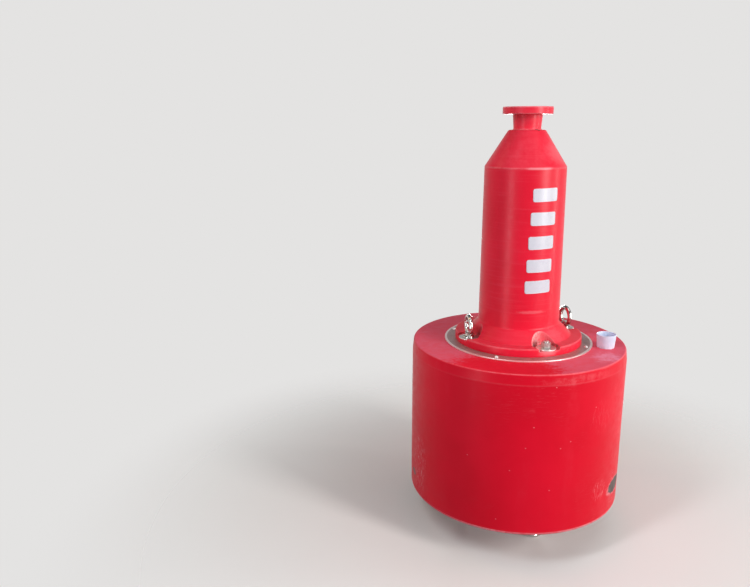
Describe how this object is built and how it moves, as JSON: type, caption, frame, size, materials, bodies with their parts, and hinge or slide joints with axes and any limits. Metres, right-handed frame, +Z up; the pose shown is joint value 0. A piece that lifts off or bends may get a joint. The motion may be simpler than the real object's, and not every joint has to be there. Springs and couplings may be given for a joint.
{
  "type": "moulded plastic navigation buoy with drum float and bolted tower",
  "caption": "Unlit red navigation buoy: drum float, bolted tubular tower with cone top and lantern flange, steel ring plates, through studs, lifting and mooring eyes.",
  "frame": {"origin": "on the floor under the middle of the float, at the level of the mooring eyes' lowest points", "axes": "+Z up along the tower's axis, +X through the right lifting eye, -Y towards the front stud nut"},
  "size_m": [0.7999, 0.8, 1.588],
  "materials": {
    "float": "semi-gloss moulded polyethylene, dusty on top",
    "tower": "semi-gloss moulded polyethylene",
    "plate_steel": "dull stainless plate",
    "fastener_steel": "satin stainless",
    "polished_steel": "polished stainless forging",
    "cap": "white moulded plastic"
  },
  "bodies": {
    "root": {"float_body": "float", "ring_plate_top": "plate_steel", "ring_plate_bottom": "plate_steel", "tower_body": "tower", "stud_right": "fastener_steel", "stud_back": "fastener_steel", "stud_left": "fastener_steel", "stud_front": "fastener_steel", "washer_top_right": "fastener_steel", "washer_top_back": "fastener_steel", "washer_top_left": "fastener_steel", "washer_top_front": "fastener_steel", "washer_bottom_right": "fastener_steel", "washer_bottom_back": "fastener_steel", "washer_bottom_left": "fastener_steel", "washer_bottom_front": "fastener_steel", "nut_top_back": "fastener_steel", "nut_top_front": "fastener_steel", "nut_bottom_right": "fastener_steel", "nut_bottom_back": "fastener_steel", "nut_bottom_left": "fastener_steel", "nut_bottom_front": "fastener_steel", "lock_nut_right": "fastener_steel", "lock_nut_back": "fastener_steel", "lock_nut_left": "fastener_steel", "lock_nut_front": "fastener_steel", "lifting_eye_right": "polished_steel", "lifting_eye_left": "polished_steel", "mooring_eye_right": "polished_steel", "mooring_eye_back": "polished_steel", "mooring_eye_left": "polished_steel", "mooring_eye_front": "polished_steel", "filler_cap": "cap"}
  },
  "joints": []
}
